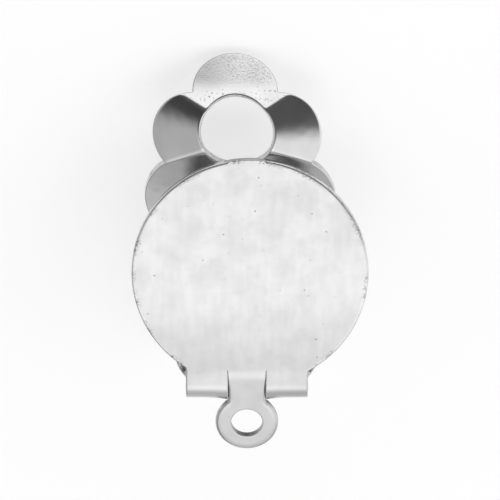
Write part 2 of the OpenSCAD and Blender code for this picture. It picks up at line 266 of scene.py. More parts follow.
def stamp(name, loops, grid, thickness, edge, fold, clear=LINE_CLEAR):
    """A stamped sheet: a blank with rounded edges, folded. The first loop is its outline and
    the others are its holes, all with the sheet on their left. edge(points) is the radius of
    the edge at each point of a loop. The sheet keeps its blank's coordinates, in millimetres,
    with the depth in the sheet as third, for marks that the tools left on it."""
    quarter = np.radians([0, 30, 60, 90])
    profile = [(FLAT_FROM, 0.0, 0.0)]
    profile += [(1 - math.sin(a), 1 - math.cos(a), 0.0) for a in quarter]
    profile += [(1 - math.sin(a), math.cos(a) - 1, 1.0) for a in quarter[::-1]]
    profile += [(FLAT_FROM, 0.0, 1.0)]
    verts, marks, faces, rims = [], [], [], []
    count = 0
    for loop in loops:
        radius = edge(loop)
        n = len(loop)
        for k, (away, down, back) in enumerate(profile):
            ring = inset(loop, away * radius)
            depth = back * thickness + down * radius
            verts.append(fold(ring, depth))
            marks.append(np.column_stack([ring, depth]))
            if k in (0, len(profile) - 1):
                rims.append((ring, count))
            if k:
                faces += [
                    (count + i - n, count + (i + 1) % n - n, count + (i + 1) % n, count + i)
                    for i in range(n)
                ]
            count += n
    front_rims, back_rims = rims[0::2], rims[1::2]
    borders = [ring for ring, _ in front_rims]
    rim_points = np.concatenate(borders)
    grid = grid[inside(grid, borders)]
    nearest = [np.min(np.hypot(*(rim_points - p).T)) for p in grid]
    grid = grid[np.array(nearest) > clear]
    flat = np.concatenate([rim_points, grid])
    edges, first = [], 0
    for ring in borders:
        n = len(ring)
        edges += [(first + i, first + (i + 1) % n) for i in range(n)]
        first += n
    made = geometry.delaunay_2d_cdt([Vector(p) for p in flat], edges, [], 0, 1e-7)
    source = [ids[0] for ids in made[3]]
    corners = np.array([[source[i] for i in face] for face in made[2]])
    corners = corners[inside(flat[corners].mean(axis=1), borders)]
    for depth, side in ((0.0, front_rims), (thickness, back_rims)):
        verts.append(fold(grid, np.full(len(grid), depth)))
        marks.append(np.column_stack([grid, np.full(len(grid), depth)]))
        index = np.concatenate([start + np.arange(len(ring)) for ring, start in side])
        index = np.concatenate([index, count + np.arange(len(grid))])
        faces += [tuple(int(i) for i in f) for f in index[corners]]
        count += len(grid)
    mesh = bpy.data.meshes.new(name)
    mesh.from_pydata(lay(np.concatenate(verts)).tolist(), [], faces)
    on_sheet = mesh.attributes.new("on_sheet", "FLOAT_VECTOR", "POINT")
    on_sheet.data.foreach_set("vector", np.concatenate(marks).ravel())
    form = bmesh.new()
    form.from_mesh(mesh)
    bmesh.ops.remove_doubles(form, verts=form.verts, dist=1e-8)
    bmesh.ops.recalc_face_normals(form, faces=form.faces)
    form.to_mesh(mesh)
    form.free()
    mesh.shade_smooth()
    piece = bpy.data.objects.new(name, mesh)
    bpy.context.collection.objects.link(piece)
    return piece


def bracket_side():
    """The blank's right edge from the ear's foot down to the lip, seen from the front."""
    foot = EAR_FOOT * np.array(FOOT_CURVE)
    turn_out = on_blank(STRAP_HALF + foot[::-1], -EAR_R - foot)
    top = arc((0, 0), EAR_R, 180, 0)
    ear_top = on_blank(HOLE_X + top[:, 1], top[:, 0])
    rear = on_blank(np.array([LIP_HALF + LIP_NOTCH + CORNER, LIP_HALF + LIP_NOTCH]),
                    np.array([EAR_R, EAR_R - CORNER]))
    lip_end = LIP_V + LIP_RUN + LIP_H - BEND_OUT
    lip_x = np.array([LIP_HALF + LIP_NOTCH, LIP_HALF, LIP_HALF, LIP_HALF - CORNER])
    relief = LIP_V - LIP_RELIEF
    lip = on_blank(lip_x, np.array([relief, relief, lip_end - CORNER, lip_end]))
    return np.concatenate([turn_out, ear_top, rear, lip])


def bracket_loops():
    """The blank's outline, the slits with the window round the tab, and the three holes."""
    right = bracket_side()
    left = right * [-1, 1]
    pad = (STRAP_SHIFT, 0)
    first = -math.degrees(math.acos((STRAP_HALF - STRAP_SHIFT) / PAD_R))
    last = 180 + math.degrees(math.acos((STRAP_HALF + STRAP_SHIFT) / PAD_R))
    outline = chain(right[::-1], arc(pad, PAD_R, first, last), left)
    window_half = NECK_HALF + SLIT_GAP
    window_a = math.degrees(math.acos(window_half / WINDOW_R))
    loop_a = math.degrees(math.acos(NECK_HALF / LOOP_R))
    window = chain(
        (-window_half, SLIT_Z),
        arc((0, WINDOW_Z), WINDOW_R, 180 - window_a, 360 + window_a),
        (window_half, SLIT_Z),
        (NECK_HALF, SLIT_Z),
        arc((0, WINDOW_Z), LOOP_R, 360 + loop_a, 180 - loop_a),
        (-NECK_HALF, SLIT_Z),
    )[::-1]
    hole_w = on_blank(np.zeros(1), np.zeros(1))[0, 1]
    holes = [chain(arc((0, WINDOW_Z), LOOP_HOLE_R, 360, 0, HOLE_STEP)[:-1], step=1)]
    for x in (HOLE_X, -HOLE_X):
        holes.append(chain(arc((x, hole_w), PIN_HOLE_R, 360, 0, HOLE_STEP)[:-1], step=1))
    return [outline, window, *holes]


def bracket_edge(loop):
    """Tumbling rounds the free loop most. The slits' edges stay sharp."""
    x, w = np.abs(loop[:, 0]), loop[:, 1]
    from_loop = np.hypot(x, w - WINDOW_Z)
    near = SLIT_GAP / 2
    slit = (x < NECK_HALF + SLIT_GAP + near) & (w > WINDOW_Z + LOOP_HOLE_R)
    slit &= from_loop > LOOP_R + near
    neck = (x < NECK_HALF + near) & slit
    ring = (from_loop > LOOP_HOLE_R + near) & (from_loop < LOOP_R + near)
    free = smooth((SLIT_Z - w) / (SLIT_Z - WINDOW_Z - LOOP_R))
    radius = np.where(from_loop < LOOP_HOLE_R + near, HOLE_EDGE, BRACKET_EDGE)
    radius = np.where(slit, SLIT_EDGE, radius)
    radius = np.where(neck, SLIT_EDGE + (LOOP_EDGE - SLIT_EDGE) * free, radius)
    return np.where(ring, LOOP_EDGE, radius)


bracket_blank = bracket_loops()
low, high = bracket_blank[0].min(0), bracket_blank[0].max(0)
FOLDS_W = -5.5
pad_grid = staggered((-PAD_R, FOLDS_W), (PAD_R + 1, PAD_R), COARSE)
pad_grid = pad_grid[pad_grid[:, 1] > FOLDS_W + FINE]
fold_grid = staggered(low, (high[0], FOLDS_W), FINE)
bracket = stamp(
    "bracket_stamping", bracket_blank, np.concatenate([pad_grid, fold_grid]), SHEET,
    bracket_edge, fold_bracket,
)


def linear(hexcode):
    """A shader colour from an sRGB hex code."""
    shares = [int(hexcode[i : i + 2], 16) / 255 for i in (0, 2, 4)]
    return [*(s / 12.92 if s <= 0.04045 else ((s + 0.055) / 1.055) ** 2.4 for s in shares), 1.0]


def add_node(tree, kind, inputs=(), **settings):
    """A node of that kind, with its settings. Its inputs come by name or in order, and each is a
    value, an output, or a node for its first output."""
    node = tree.nodes.new(kind)
    for name, value in settings.items():
        setattr(node, name, value)
    for socket, given in inputs.items() if isinstance(inputs, dict) else enumerate(inputs):
        if isinstance(given, bpy.types.Node):
            given = given.outputs[0]
        if isinstance(given, bpy.types.NodeSocket):
            tree.links.new(given, node.inputs[socket])
        else:
            node.inputs[socket].default_value = given
    return node


def overlap(tree, *fades):
    """How much several smooth fades overlap. Each is a source, the values where it starts and
    ends and, unless they are 0 and 1, its levels there."""
    share = 1.0
    for fade in fades:
        fade = add_node(tree, "ShaderNodeMapRange", fade, interpolation_type="SMOOTHSTEP")
        share = add_node(tree, "ShaderNodeMath", [share, fade], operation="MULTIPLY")
    return share


# Marks of the shears and of the tumbler: the size of each in millimetres, and the levels of the
# noise between which it shows. Tears are finer in fact, and drawn as coarse as they need to show.
SHEAR_START, SHEAR_FULL = 0.03, 0.09
TEAR, TEAR_SHOWS = 0.1, (0.42, 0.68)
TEAR_PATCH, PATCH_SHOWS = 0.9, (0.42, 0.62)
CLOUD, CLOUD_SHOWS = 1.7, (0.3, 0.7)
MARK_DEPTH, MARK_RELIEF = 0.007, 0.6
WAVE_RELIEF = 0.5


def plated_steel(name, bright, dull, thickness):
    """Nickel-plated steel: bright on its two faces, torn in patches on its sheared edges, with
    soft clouds from tumbling. Returns its parts, to which each piece adds its own marks."""
    metal = bpy.data.materials.new(name)
    metal.use_nodes = True
    tree = metal.node_tree
    shader = tree.nodes["Principled BSDF"]
    shader.inputs["Metallic"].default_value = 1.0
    place = add_node(tree, "ShaderNodeTexCoord").outputs["Object"]
    place = add_node(tree, "ShaderNodeMapping", {"Vector": place, "Scale": [1 / MM] * 3})
    sheet = add_node(tree, "ShaderNodeAttribute", attribute_name="on_sheet").outputs["Vector"]
    sheet = add_node(tree, "ShaderNodeSeparateXYZ", [sheet]).outputs
    sheared = overlap(
        tree, (sheet[2], SHEAR_START, SHEAR_FULL),
        (sheet[2], thickness - SHEAR_START, thickness - SHEAR_FULL),
    )
    tears = add_node(
        tree, "ShaderNodeTexNoise", {"Vector": place, "Scale": 1 / TEAR, "Detail": 2},
    )
    patches = add_node(
        tree, "ShaderNodeTexNoise", {"Vector": place, "Scale": 1 / TEAR_PATCH, "Detail": 1},
    )
    torn = overlap(tree, (tears, *TEAR_SHOWS), (patches, *PATCH_SHOWS))
    clouds = add_node(
        tree, "ShaderNodeTexNoise", {"Vector": place, "Scale": 1 / CLOUD, "Detail": 4},
    )
    clouds = add_node(
        tree, "ShaderNodeMapRange", [clouds, *CLOUD_SHOWS], interpolation_type="SMOOTHSTEP",
    )
    colour = add_node(
        tree, "ShaderNodeMix", {"Factor": clouds, 6: linear(bright), 7: linear(dull)},
        data_type="RGBA",
    ).outputs[2]
    return metal, tree, shader, place, sheet, sheared, torn, colour


def show_marks(tree, shader, colour, tint, dark, rough, marks, worn, height, depth=MARK_DEPTH):
    """Darkens the metal by the tint, roughens it where it is marked, and sinks its marks.
    Returns the bump, for the shader or for another bump on it."""
    tinted = add_node(
        tree, "ShaderNodeMix", {"Factor": tint, 6: colour, 7: linear(dark)}, data_type="RGBA",
    )
    tree.links.new(tinted.outputs[2], shader.inputs["Base Color"])
    worn = add_node(
        tree, "ShaderNodeMapRange", [marks, 0, 1, 0, worn], interpolation_type="SMOOTHSTEP",
    )
    rough = add_node(tree, "ShaderNodeMath", [rough, worn], operation="MAXIMUM")
    tree.links.new(rough.outputs[0], shader.inputs["Roughness"])
    return add_node(
        tree, "ShaderNodeBump",
        {"Height": height, "Strength": MARK_RELIEF, "Distance": depth * MM}, invert=True,
    )


# Tumbled nickel: the pad is satin, almost white under the tent, with faint clouds and streaks, a
# few pits and a worn rim, and painted shade greying it towards the strap. The folds and the loop
# are smoother. The walls of the slits and of the loop's hole carry painted shade over their torn
# metal, and each ear is creased behind its hole, with painted shade along the crease.
# Pits are finer in fact, and drawn as coarse as they need to show.
WORN_RIM, WORN_END = 0.4, 0.1
PAD_FOOT = (-6.9, -6.2)
STRAP_SHADE_FROM, STRAP_SHADE_TO, STRAP_SHADE_SHARE = -1, -6.5, 0.34
PIT, PIT_SHOWS = 0.16, (0.82, 0.92)
STREAK, STREAK_STRETCH, STREAK_SHOWS = 1.0, (2.5, 0.5, 0.5), (0.35, 0.65)
CUT_HALF = (1.5, 1.35)
CUT_FROM = (WINDOW_Z - 1.3, WINDOW_Z - 1.15)
WALL_SHADE = (0.75, 1)
CREASE_HALF, CREASE_SHADE = (0.13, 0.03), 0.8
CREASE_IN, CREASE_OUT = (HOLE_X - 2.0, HOLE_X - 1.7), (HOLE_X + 1.5, HOLE_X + 1.1)
SMOOTH_ROUGH, SATIN_ROUGH, STREAK_ROUGH, TORN_ROUGH = 0.2, 0.23, 0.02, 0.42
PAD_WAVE, PAD_WAVE_RISE = 1.1, 0.009

satin, tree, shader, place, sheet, sheared, torn, colour = plated_steel(
    "tumbled_nickel_plate", "d6d6d6", "cccccc", SHEET,
)
down_blank = sheet[1]
from_middle = add_node(tree, "ShaderNodeCombineXYZ", [sheet[0], down_blank])
from_middle = add_node(
    tree, "ShaderNodeVectorMath", [from_middle, (STRAP_SHIFT, 0, 0)], operation="DISTANCE",
).outputs["Value"]
near_rim = (from_middle, PAD_R - WORN_RIM, PAD_R - WORN_END)
rim = overlap(tree, near_rim, (down_blank, *PAD_FOOT))
rim = add_node(tree, "ShaderNodeMath", [rim, sheared], operation="MAXIMUM")
rim = add_node(tree, "ShaderNodeMath", [rim, torn], operation="MULTIPLY")
beside = add_node(tree, "ShaderNodeMath", [sheet[0]], operation="ABSOLUTE")
# Painted shade in the slits and on the wall of the loop's hole, over their torn metal.
torn_and_shaded_walls = overlap(
    tree, (beside, *CUT_HALF), (down_blank, *CUT_FROM), (torn, 0, 1, *WALL_SHADE),
)
torn_and_shaded_walls = add_node(tree, "ShaderNodeMath", [torn_and_shaded_walls, sheared], operation="MULTIPLY")
from_crease = add_node(
    tree, "ShaderNodeMath", [down_blank, BASE_W + BEND_V - EAR_CREASE_V], operation="SUBTRACT",
)
from_crease = add_node(tree, "ShaderNodeMath", [from_crease], operation="ABSOLUTE")
# Painted shade along the crease behind each ear's hole.
crease = overlap(
    tree, (beside, *CREASE_IN), (beside, *CREASE_OUT),
    (from_crease, *CREASE_HALF, 0, CREASE_SHADE),
)
pits = add_node(tree, "ShaderNodeTexNoise", {"Vector": place, "Scale": 1 / PIT, "Detail": 0})
pits = add_node(
    tree, "ShaderNodeMapRange", [pits, *PIT_SHOWS], interpolation_type="SMOOTHSTEP",
)
# The marks hold the worn rim, the pits, and the painted shade of the walls and of the ears'
# creases.
marks = rim
for mark in (torn_and_shaded_walls, crease, pits):
    marks = add_node(tree, "ShaderNodeMath", [marks, mark], operation="MAXIMUM")
# Painted shade: the pad greys towards the strap, and all the folds below it stay that grey.
painted_shade = add_node(
    tree, "ShaderNodeMapRange", [down_blank, STRAP_SHADE_FROM, STRAP_SHADE_TO, 0, STRAP_SHADE_SHARE],
    interpolation_type="SMOOTHSTEP",
)
tint = add_node(tree, "ShaderNodeMath", [marks, painted_shade], operation="MAXIMUM")
streaks = add_node(tree, "ShaderNodeMapping", {"Vector": place, "Scale": STREAK_STRETCH})
streaks = add_node(
    tree, "ShaderNodeTexNoise", {"Vector": streaks, "Scale": 1 / STREAK, "Detail": 3},
)
rough = add_node(
    tree, "ShaderNodeMapRange", [down_blank, *PAD_FOOT], interpolation_type="SMOOTHSTEP",
)
rough = add_node(
    tree, "ShaderNodeMapRange", [rough, 0, 1, SMOOTH_ROUGH, SATIN_ROUGH],
    interpolation_type="SMOOTHSTEP",
)
for levels in (STREAK_SHOWS, (0, 1, 0, STREAK_ROUGH)):
    streaks = add_node(
        tree, "ShaderNodeMapRange", [streaks, *levels], interpolation_type="SMOOTHSTEP",
    )
rough = add_node(tree, "ShaderNodeMath", [streaks, rough], operation="ADD")
bump = show_marks(tree, shader, colour, tint, "8c8c8c", rough, marks, TORN_ROUGH, marks)
waves = add_node(
    tree, "ShaderNodeTexNoise", {"Vector": place, "Scale": 1 / PAD_WAVE, "Detail": 2},
)
waves = add_node(tree, "ShaderNodeBump", {
    "Height": waves, "Normal": bump, "Strength": WAVE_RELIEF, "Distance": PAD_WAVE_RISE * MM,
})
tree.links.new(waves.outputs[0], shader.inputs["Normal"])

bracket.data.materials.append(satin)
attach(bracket, "bracket")
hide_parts("bracket")


# Clip: one stamping of 0.45 mm spring sheet, nickel plated. The flower is pressed to a shallow
# cone round its hole, with the top petal folded back, and two rails bow back from it to the
# ears. Their ends carry the square lugs that turn in the ears' holes, a little loose.
CLIP_SHEET = 0.45
CLOSED_GAP = 0.12
ARM_BOW = math.radians(13.3)
ARM_HALF = 7.76 / 2
LUG_HALF = 0.51
LUG_BACK = 0.3
LUG_UP = 0.24
LUG_PROUD = 0.05
RAIL_END = 0.75
RAIL_CORNER = 0.2
FILLET_WIDE, FILLET_TALL = 0.36, 0.56
CLIP_LEAN = math.radians(2.4)
SLOT_W = 0.3
TONGUE_HALF = 1.7
TONGUE_TOP = 5.9
FLOWER_Z = 9.1
FLOWER_HOLE_R = 2.36
CONE_R = 2.2
# Each petal is an ellipse: the place of its middle, and its half width and half height
HUB = (0, 0, 3.7, 3.7)
TOP_PETAL = (0, 2.6, 2.7, 2.14)
SIDE_PETAL = (2.8, -0.2, 2.55, 2.75)
LOW_PETAL = (2.8, -5.0, 3.25, 3.5)
PETAL_SLOPE = math.radians(15)
FLOWER_LEAN = math.radians(3)
RIM_BACK = 0.3
TOP_FOLD = math.radians(31)
TOP_FOLD_RISE = 1.4
TOP_CREASE = 0.08
ARM_CREASE = 0.1
CLIP_EDGE = 0.07
ROOT_EDGE = 0.004
FLOWER_POINTS = 460
PETAL_STEP, RAIL_STEP, PETAL_CLEAR = 0.11, 0.2, 0.06

ARM_FRONT = SHEET + CLOSED_GAP
LUG_Y = PIVOT_BACK + LUG_BACK
LUG_Z = LUG_UP - PIVOT_DROP
CHORD = (LUG_Y - ARM_FRONT - CLIP_SHEET / 2, PAD_R - LUG_Z)
ARM_TOP_ANGLE = math.atan2(*CHORD) + ARM_BOW / 2
ARM_R = math.hypot(*CHORD) / (2 * math.sin(ARM_BOW / 2)) - CLIP_SHEET / 2
ARC_Y = ARM_FRONT - ARM_R * math.cos(ARM_TOP_ANGLE)
ARC_Z = PAD_R - ARM_R * math.sin(ARM_TOP_ANGLE)
FOLD_Z = FLOWER_Z + TOP_FOLD_RISE
FOLD_Y = RIM_BACK + TOP_FOLD_RISE * math.tan(FLOWER_LEAN)


def furthest(a, b, crease):
    """The further back of two surfaces, with a soft crease where they meet."""
    near = np.maximum(crease - np.abs(a - b), 0) / crease
    return np.maximum(a, b) + near * near * crease / 4


def clip_front(x, z):
    """Y of the clip's front face."""
    from_rim = np.hypot(x, z - FLOWER_Z) - CONE_R
    cone = RIM_BACK + (z - FLOWER_Z) * math.tan(FLOWER_LEAN) + from_rim * math.tan(PETAL_SLOPE)
    fold = FOLD_Y + (z - FOLD_Z) * math.tan(TOP_FOLD)
    arm = ARC_Y + np.sqrt(ARM_R ** 2 - (z - ARC_Z) ** 2)
    return furthest(furthest(cone, fold, TOP_CREASE), arm, ARM_CREASE)


def lean_clip(x, y, z):
    """The clip stands a little to its left in the ears' holes, with its lugs level in them."""
    return np.stack([x - (z + PIVOT_DROP) * math.tan(CLIP_LEAN) - STRAP_SHIFT, y, z], axis=-1)


def fold_clip(blank, depth):
    """The clip's points: on the front face, or that deep in the sheet behind it."""
    x, z = blank[:, 0], blank[:, 1]
    h = 0.02
    normal = np.stack([
        (clip_front(x - h, z) - clip_front(x + h, z)) / (2 * h),
        np.ones(len(x)),
        (clip_front(x, z - h) - clip_front(x, z + h)) / (2 * h),
    ])
    normal = normal / np.linalg.norm(normal, axis=0) * depth
    return lean_clip(x + normal[0], clip_front(x, z) + normal[1], z + normal[2])


def far_side(petal, angle):
    """How far a ray from the flower's centre runs before it leaves a petal's ellipse, or 0."""
    cx, cz, rx, rz = petal
    c, s = math.cos(angle) / rx, math.sin(angle) / rz
    square, middle = c * c + s * s, c * cx / rx + s * cz / rz
    chord = middle ** 2 - square * ((cx / rx) ** 2 + (cz / rz) ** 2 - 1)
    return (middle + math.sqrt(chord)) / square if chord > 0 else 0


def clip_loops():
    """The clip's outline, with the slot for the tongue, and the flower's hole."""
    petals = [HUB, TOP_PETAL]
    for side in (-1, 1):
        for cx, cz, rx, rz in (SIDE_PETAL, LOW_PETAL):
            petals.append((side * cx, cz, rx, rz))
    cx, cz, rx, rz = LOW_PETAL
    past = ARM_HALF + FILLET_WIDE
    root_z = cz - rz * math.sqrt(1 - ((past - cx) / rx) ** 2)
    first = math.atan2(root_z, past)
    flower = []
    for angle in np.linspace(first, math.pi - first, FLOWER_POINTS):
        reach = max(far_side(petal, angle) for petal in petals)
        flower.append((reach * math.cos(angle), FLOWER_Z + reach * math.sin(angle)))
    root_z += FLOWER_Z
    fillet = [
        (ARM_HALF + (past - ARM_HALF) * k * k, root_z - FILLET_TALL * (1 - k))
        for k in (0, 0.25, 0.5, 0.75)
    ]
    gap, end = TONGUE_HALF + SLOT_W, LUG_Z - RAIL_END
    reach = EARS_HALF + LUG_PROUD
    rail = np.array([
        (gap, TONGUE_TOP), (gap, end + RAIL_CORNER), (gap + RAIL_CORNER, end),
        (ARM_HALF - RAIL_CORNER, end), (ARM_HALF, end + RAIL_CORNER), (ARM_HALF, LUG_Z - LUG_HALF),
        (reach, LUG_Z - LUG_HALF), (reach, LUG_Z + LUG_HALF), (ARM_HALF, LUG_Z + LUG_HALF), *fillet,
    ])
    outline = chain(rail, np.array(flower), rail[::-1] * [-1, 1])
    hole = chain(arc((0, FLOWER_Z), FLOWER_HOLE_R, 360, 0)[:-1], step=1)
    return [outline, hole]


def clip_edge(loop):
    """Edges are rounded all round, except where the tongue grows out of the sheet."""
    at_root = np.abs(loop[:, 0]) < TONGUE_HALF + SLOT_W / 3
    at_root &= np.abs(loop[:, 1] - TONGUE_TOP) < SLOT_W / 6
    return np.where(at_root, ROOT_EDGE, CLIP_EDGE)


clip_blank = clip_loops()
low, high = clip_blank[0].min(0), clip_blank[0].max(0)
RAILS_Z = 3.0
petal_grid = staggered((low[0], RAILS_Z), high, PETAL_STEP)
rail_grid = staggered(low, (high[0], RAILS_Z - RAIL_STEP / 2), RAIL_STEP)
clip = stamp(
    "clip_stamping", clip_blank, np.concatenate([petal_grid, rail_grid]), CLIP_SHEET,
    clip_edge, fold_clip, PETAL_CLEAR,
)

# Bright nickel: the pressed petals are mirror-like. The petal folded back is dull and pitted all
# over where the tool gripped it, with painted shade greying its left, and nicks along its fold.
# The rails' edges are torn by the shears. Its pits are finer in fact, and drawn as coarse as they
# need to show.
GRIPPED = (FLOWER_Z + 2.3, FLOWER_Z + 3.5)
FOLD_FROM, FOLD_TO = (FLOWER_Z + 1.6, FLOWER_Z + 2.2), (FLOWER_Z + 2.9, FLOWER_Z + 2.5)
LEFT_SHADE, LEFT_SHADE_SHARE = (0.4, -2.2), 0.6
GRIP_PIT, GRIP_PIT_SHOWS = 0.1, (0.35, 0.7)
DEEP_PIT, DEEP_PIT_SHARE = (0.3, 1), 0.4
SCAR, SCAR_SHOWS = 0.2, (0.7, 0.78)
NICK, NICK_SHOWS = 0.19, (0.56, 0.8)
MIRROR_ROUGH, GRIPPED_ROUGH, MARKED_ROUGH = 0.12, 0.24, 0.4
GRIP_DEPTH = 0.005
PETAL_WAVE, PETAL_WAVE_RISE = 1.3, 0.02

mirror, tree, shader, place, sheet, sheared, torn, colour = plated_steel(
    "bright_nickel_plate", "cfcfcf", "c6c6c6", CLIP_SHEET,
)
gripped = (sheet[1], *GRIPPED)
pits = add_node(
    tree, "ShaderNodeTexNoise", {"Vector": place, "Scale": 1 / GRIP_PIT, "Detail": 1},
)
pits = overlap(tree, gripped, (pits, *GRIP_PIT_SHOWS))
scars = add_node(tree, "ShaderNodeTexNoise", {"Vector": place, "Scale": 1 / SCAR, "Detail": 1})
scars = overlap(tree, gripped, (scars, *SCAR_SHOWS))
nicks = add_node(tree, "ShaderNodeTexNoise", {"Vector": place, "Scale": 1 / NICK, "Detail": 2})
nicks = overlap(tree, (sheet[1], *FOLD_FROM), (sheet[1], *FOLD_TO), (nicks, *NICK_SHOWS))
marks = add_node(tree, "ShaderNodeMath", [sheared, torn], operation="MULTIPLY")
for mark in (scars, nicks):
    marks = add_node(tree, "ShaderNodeMath", [marks, mark], operation="MAXIMUM")
# Painted shade: the gripped petal greys towards its left.
painted_shade = overlap(tree, gripped, (sheet[0], *LEFT_SHADE, 0, LEFT_SHADE_SHARE))
dull_pits = add_node(
    tree, "ShaderNodeMapRange", [pits, *DEEP_PIT, 0, DEEP_PIT_SHARE],
    interpolation_type="SMOOTHSTEP",
)
tint = marks
for mark in (painted_shade, dull_pits):
    tint = add_node(tree, "ShaderNodeMath", [tint, mark], operation="MAXIMUM")
rough = sheet[1]
for levels in (GRIPPED, (0, 1, MIRROR_ROUGH, GRIPPED_ROUGH)):
    rough = add_node(
        tree, "ShaderNodeMapRange", [rough, *levels], interpolation_type="SMOOTHSTEP",
    )
sunk = add_node(tree, "ShaderNodeMath", [marks, pits], operation="MAXIMUM")
bump = show_marks(
    tree, shader, colour, tint, "909090", rough, marks, MARKED_ROUGH, sunk, GRIP_DEPTH,
)
waves = add_node(
    tree, "ShaderNodeTexNoise", {"Vector": place, "Scale": 1 / PETAL_WAVE, "Detail": 1},
)
waves = add_node(tree, "ShaderNodeBump", {
    "Height": waves, "Normal": bump, "Strength": WAVE_RELIEF, "Distance": PETAL_WAVE_RISE * MM,
})
tree.links.new(waves.outputs[0], shader.inputs["Normal"])

clip.data.materials.append(mirror)
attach(clip, "clip")
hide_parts("clip")


# Spring tongue: the strip cut free between the rails, stepped back behind them and bent at a
# knee. Its end bears on the base against the lip and snaps the clip shut. It is swept along
# its own path by a node tree, with the rounded edges that tumbling leaves.
STEP_ANGLE = math.radians(66)
UPPER_ANGLE = math.radians(45)
MID_ANGLE = math.radians(34)
LOW_ANGLE = math.radians(10.5)
STEP_LEN, UPPER_LEN = 0.65, 1.2
STEP_BEND, MIDDLE_BEND, KNEE_BEND = 0.5, 4.8, 1.5
TIP_GAP = 0.1
PATH_STEP, TIP_STEPS = 0.12, 12
ARM_MID_R = ARM_R + CLIP_SHEET / 2
ROOT_ANGLE = math.asin((TONGUE_TOP - ARC_Z) / ARM_R)
CUT_ANGLE = math.asin((TONGUE_TOP - ARC_Z) / ARM_MID_R)
# Each leg runs from one angle to another, over a length
TONGUE_LEGS = [
    (ROOT_ANGLE, CUT_ANGLE, ARM_MID_R * (ROOT_ANGLE - CUT_ANGLE)),
    (CUT_ANGLE, STEP_ANGLE, STEP_BEND), (STEP_ANGLE, STEP_ANGLE, STEP_LEN),
    (STEP_ANGLE, UPPER_ANGLE, STEP_BEND), (UPPER_ANGLE, UPPER_ANGLE, UPPER_LEN),
    (UPPER_ANGLE, MID_ANGLE, MIDDLE_BEND), (MID_ANGLE, LOW_ANGLE, KNEE_BEND),
]


def tongue_path():
    """Y and Z of the middle of the tongue's sheet, from its root to its tip."""
    root = (ARC_Y + ARM_MID_R * math.cos(ROOT_ANGLE), ARC_Z + ARM_MID_R * math.sin(ROOT_ANGLE))
    points = [np.array(root)]
    for first, last, length in TONGUE_LEGS:
        n = max(2, int(length / PATH_STEP))
        for k in range(n):
            a = first + (last - first) * (k + 0.5) / n
            points.append(points[-1] + length / n * np.array([math.sin(a), -math.cos(a)]))
    knee = points[-1]
    over_base = PIVOT_H + (knee[0] - PIVOT_BACK) * math.sin(BASE_SLOPE)
    over_base += (knee[1] + PIVOT_DROP) * math.cos(BASE_SLOPE)
    tip_over = SHEET + TIP_GAP + CLIP_SHEET / 2 * math.sin(LOW_ANGLE + BASE_SLOPE)
    low = (over_base - tip_over) / math.cos(LOW_ANGLE + BASE_SLOPE)
    heading = np.array([math.sin(LOW_ANGLE), -math.cos(LOW_ANGLE)])
    tip = [knee + heading * low * k / TIP_STEPS for k in range(1, TIP_STEPS + 1)]
    return np.array(points + tip)


def strip_tree():
    """Node tree: sweeps a strip of sheet with rounded edges along a path."""
    tree = bpy.data.node_groups.new("bent_strip", "GeometryNodeTree")
    tree.is_modifier = True
    tree.interface.new_socket("Path", in_out="INPUT", socket_type="NodeSocketGeometry")
    for name in ("Width", "Thickness", "Edge radius"):
        tree.interface.new_socket(name, in_out="INPUT", socket_type="NodeSocketFloat")
    tree.interface.new_socket("Metal", in_out="INPUT", socket_type="NodeSocketMaterial")
    tree.interface.new_socket("Strip", in_out="OUTPUT", socket_type="NodeSocketGeometry")
    given = add_node(tree, "NodeGroupInput").outputs
    path = add_node(tree, "GeometryNodeMeshToCurve", {"Mesh": given["Path"]})
    path = add_node(tree, "GeometryNodeSetCurveNormal", {"Curve": path}, mode="Z_UP")
    section = add_node(
        tree, "GeometryNodeCurvePrimitiveQuadrilateral",
        {"Width": given["Width"], "Height": given["Thickness"]},
    )
    section = add_node(
        tree, "GeometryNodeFilletCurve",
        {"Curve": section, "Radius": given["Edge radius"], "Count": 3}, mode="POLY",
    )
    strip = add_node(
        tree, "GeometryNodeCurveToMesh",
        {"Curve": path, "Profile Curve": section, "Fill Caps": True},
    )
    strip = add_node(tree, "GeometryNodeRealizeInstances", {"Geometry": strip})
    strip = add_node(
        tree, "GeometryNodeSetMaterial", {"Geometry": strip, "Material": given["Metal"]},
    )
    add_node(tree, "NodeGroupOutput", {"Strip": strip})
    return tree


def grown(name, mesh, tree, inputs):
    """A plain mesh object from what the node tree makes of the mesh."""
    seed = bpy.data.objects.new(name + "_path", mesh)
    bpy.context.collection.objects.link(seed)
    modifier = seed.modifiers.new(tree.name, "NODES")
    modifier.node_group = tree
    for item in tree.interface.items_tree:
        if item.in_out == "INPUT" and item.name in inputs:
            modifier[item.identifier] = inputs[item.name]
    depsgraph = bpy.context.evaluated_depsgraph_get()
    made = bpy.data.meshes.new_from_object(seed.evaluated_get(depsgraph))
    bpy.data.objects.remove(seed)
    made.name = name
    piece = bpy.data.objects.new(name, made)
    bpy.context.collection.objects.link(piece)
    return piece


# Drawn nickel: bright like the clip, with fine lines along the strip and torn sides.
DRAWN_LINE, DRAWN_STRETCH, LINE_SHOWS = 1.0, (12, 0.3, 0.3), (0.35, 0.65)
DRAWN_ROUGH, LINE_ROUGH = 0.14, 0.22
SIDE_FACING = (0.4, 0.7)

